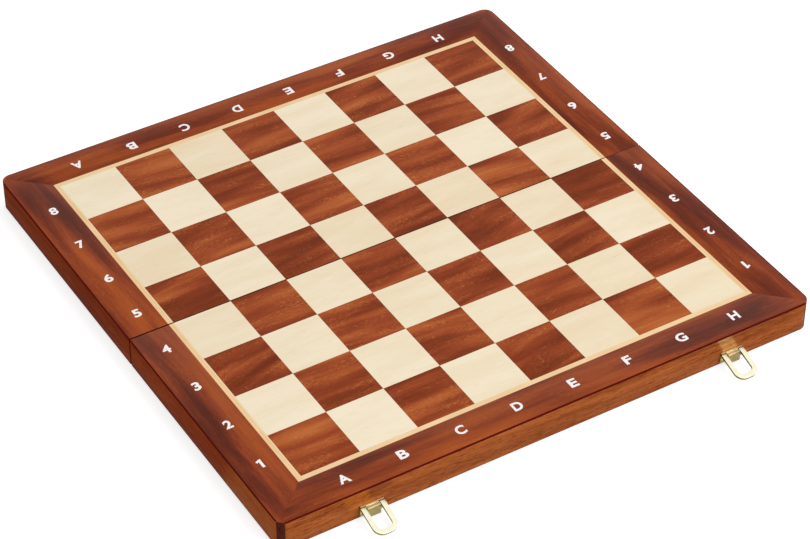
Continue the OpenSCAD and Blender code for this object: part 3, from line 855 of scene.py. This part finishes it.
def print_half(half):
    """Letters along the outer border and numbers up both sides, read from the player's side."""
    near = half == "front"
    upright, turned = Matrix.Identity(4), Matrix.Rotation(math.pi, 4, "Z")
    built = bmesh.new()
    places = []
    for file, letter in enumerate(LETTERS):
        row = -LETTER_ROW if near else LETTER_ROW
        x = (file - MIDDLE) * LETTER_PITCH + LETTER_SHIFT[half]
        places.append((letter, x, row, upright if near else turned))
    for rank in range(4) if near else range(4, 8):
        y = (rank - MIDDLE) * NUMBER_PITCH
        places.append((NUMBERS[rank], NUMBER_SHIFT - NUMBER_ROW, y, upright))
        places.append((NUMBERS[rank], NUMBER_SHIFT + NUMBER_ROW, y, turned))
    for character, x, y, spin in places:
        glyph = character_mesh(character)
        glyph.transform(Matrix.Translation((x, y + seam_y, surface_z + PRINT_LIFT)) @ spin)
        built.from_mesh(glyph)
        bpy.data.meshes.remove(glyph)
    mesh = bpy.data.meshes.new(f"{half}_coordinates")
    built.to_mesh(mesh)
    built.free()
    mesh.materials.append(print_white)
    piece = bpy.data.objects.new(f"{half}_coordinates", mesh)
    bpy.context.scene.collection.objects.link(piece)
    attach(piece, f"{half}_half")


for half in HALVES:
    print_half(half)


# ---- Stage -------------------------------------------------------------------------

FLOOR_SIZE = 12
FLOOR_COLOUR = 0.5
FLOOR_SEEN_WHITE = 0.72     # what camera and mirror rays see on the floor, apart from its lit colour
WORLD_LIGHT = 0.45
KEY_DIRECTION = Vector((0.2, -0.72, 0.66))
KEY_DISTANCE, KEY_SIZE, KEY_POWER = 4.2, 2.75, 105
TOP_DIRECTION = Vector((0.4, 0.15, 0.9))
TOP_DISTANCE, TOP_SIZE, TOP_POWER = 4.0, 1.9, 36


def seen_rays(make, link):
    """A value of 1 for the rays of the camera, of mirrors and of glass, else 0."""
    path, either, seen = make("ShaderNodeLightPath"), make("ShaderNodeMath"), make("ShaderNodeMath")
    either.operation = seen.operation = "MAXIMUM"
    link(path.outputs["Is Camera Ray"], either.inputs[0])
    link(path.outputs["Is Glossy Ray"], either.inputs[1])
    link(either.outputs[0], seen.inputs[0])
    link(path.outputs["Is Transmission Ray"], seen.inputs[1])
    return seen.outputs[0]


def bail_tip(side):
    """The far end of a bail, as the bail hangs at rest."""
    low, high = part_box(f"{side}_clasp_bail")
    return (low.x + high.x) / 2, low.y, low.z


def keep_under(floor):
    """Lets the floor sink with the folded half or a lowered bail, so that it never cuts the box."""
    folded = 0, seam_y + half_reach, surface_z + 2 * PRINT_LIFT
    lowest = {"rear_half": folded, "left_bail": bail_tip("left"), "right_bail": bail_tip("right")}
    for body, place in lowest.items():
        marker = bpy.data.objects.new(f"{body}_lowest", None)
        bpy.context.scene.collection.objects.link(marker)
        marker.location = place
        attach(marker, body)
        under = floor.constraints.new("FLOOR")
        under.target = marker
        under.floor_location = "FLOOR_NEGATIVE_Z"


def make_stage():
    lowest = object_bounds()[0].z
    mesh = bpy.data.meshes.new("floor")
    s = FLOOR_SIZE / 2
    mesh.from_pydata([(-s, -s, 0), (s, -s, 0), (s, s, 0), (-s, s, 0)], [], [(0, 1, 2, 3)])
    floor = bpy.data.objects.new("floor", mesh)
    floor.location.z = lowest
    bpy.context.scene.collection.objects.link(floor)
    m = Material("floor_white")
    grey = (FLOOR_COLOUR, FLOOR_COLOUR, FLOOR_COLOUR, 1)
    m.set(Base_Color=grey, Roughness=0.8, Specular_IOR_Level=0.1)
    seen = seen_rays(m.tree.nodes.new, m.tree.links.new)
    m.set(Emission_Color=(1, 1, 1, 1), Emission_Strength=m.math("MULTIPLY", seen, FLOOR_SEEN_WHITE))
    mesh.materials.append(m.data)
    keep_under(floor)

    world = bpy.data.worlds.new("studio")
    bpy.context.scene.world = world
    world.use_nodes = True
    tree = world.node_tree
    background = tree.nodes["Background"]
    strength = tree.nodes.new("ShaderNodeMapRange")
    tree.links.new(seen_rays(tree.nodes.new, tree.links.new), strength.inputs["Value"])
    strength.inputs["To Min"].default_value = WORLD_LIGHT
    strength.inputs["To Max"].default_value = 1.0
    tree.links.new(strength.outputs[0], background.inputs["Strength"])
    background.inputs["Color"].default_value = (1, 1, 1, 1)


def make_lamp(name, direction, distance, size, power, mirrored=True):
    data = bpy.data.lights.new(name, "AREA")
    data.shape = "SQUARE"
    data.size = size
    data.energy = power
    lamp = bpy.data.objects.new(name, data)
    bpy.context.scene.collection.objects.link(lamp)
    lamp.location = direction.normalized() * distance
    lamp.rotation_mode = "QUATERNION"
    lamp.rotation_quaternion = direction.to_track_quat("Z", "Y")
    lamp.visible_glossy = mirrored


make_stage()
make_lamp("key", KEY_DIRECTION, KEY_DISTANCE, KEY_SIZE, KEY_POWER)
make_lamp("top", TOP_DIRECTION, TOP_DISTANCE, TOP_SIZE, TOP_POWER, mirrored=False)

bpy.context.scene.view_settings.view_transform = "Standard"
